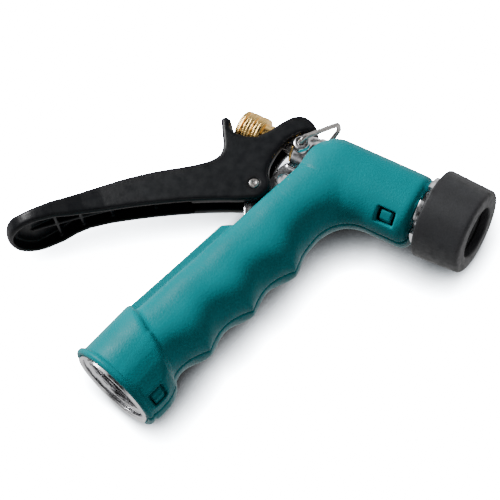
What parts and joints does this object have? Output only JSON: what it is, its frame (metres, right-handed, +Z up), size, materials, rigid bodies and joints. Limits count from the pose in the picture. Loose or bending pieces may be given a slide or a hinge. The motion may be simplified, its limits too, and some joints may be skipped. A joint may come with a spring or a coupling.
{
  "type": "hose spray nozzle",
  "caption": "Pistol-grip garden hose nozzle: rear squeeze lever, knurled stem nut, sprung needle valve, hold-open wire and rubber-cased outlet.",
  "frame": {"origin": "centre of the hose inlet's mouth, on the threaded bore's axis", "axes": "nozzle lying on its left side: +X forward along the barrel, +Y up the grip's side to the barrel, +Z up out of the nozzle's right side; the grip leans 12.5 degrees from +Y"},
  "size_m": [0.1408, 0.1225, 0.034],
  "materials": {
    "polished_zinc": "polished die casting",
    "teal_plastic": "fine pebbled moulding",
    "black_paint": "satin black paint",
    "black_rubber": "matt moulded rubber",
    "black_seal": "soft black rubber",
    "brass": "bright knurled brass",
    "steel": "bright drawn steel"
  },
  "bodies": {
    "body": {"body_casting": "polished_zinc", "outlet_head": "polished_zinc", "head_gasket": "black_seal", "rubber_bumper": "black_rubber", "grip_shell_right": "teal_plastic", "grip_shell_left": "teal_plastic", "hose_washer": "black_seal", "packing_nut": "brass", "gland_washer": "brass", "packing_ring": "black_seal", "spring_guide": "steel", "return_spring": "steel"},
    "trigger": {"trigger_lever": "black_paint", "pivot_pin": "steel", "pin_washer": "steel"},
    "stem": {"valve_stem": "steel", "valve_washer": "black_seal", "washer_retainer": "brass", "spring_seat": "steel"},
    "nut": {"adjusting_nut": "brass"},
    "wire": {"hold_open_wire": "steel"}
  },
  "joints": [
    {"name": "trigger_squeeze", "type": "hinge", "parent": "body", "child": "trigger", "pos_m": [0.00503, 0.08438, 0], "axis": [0, 0, 1], "range_deg": [0, 33], "stiffness_Nm_per_rad": 0.9, "springref_deg": -28.65},
    {"name": "stem_slide", "type": "slide", "parent": "body", "child": "stem", "axis": [-1, 0, 0], "range_m": [0, 0.01124], "deforming": ["return_spring"]},
    {"name": "nut_turn", "type": "hinge", "parent": "stem", "child": "nut", "pos_m": [-0.00697, 0.10388, 0], "axis": [1, 0, 0], "continuous": true},
    {"name": "wire_swing", "type": "hinge", "parent": "body", "child": "wire", "pos_m": [0.01263, 0.10368, 0], "axis": [0, 0, 1], "range_deg": [-14, 2]}
  ],
  "couplings": [
    {"joint": "stem_slide", "follows": "trigger_squeeze", "m_per_rad": 0.0195}
  ]
}
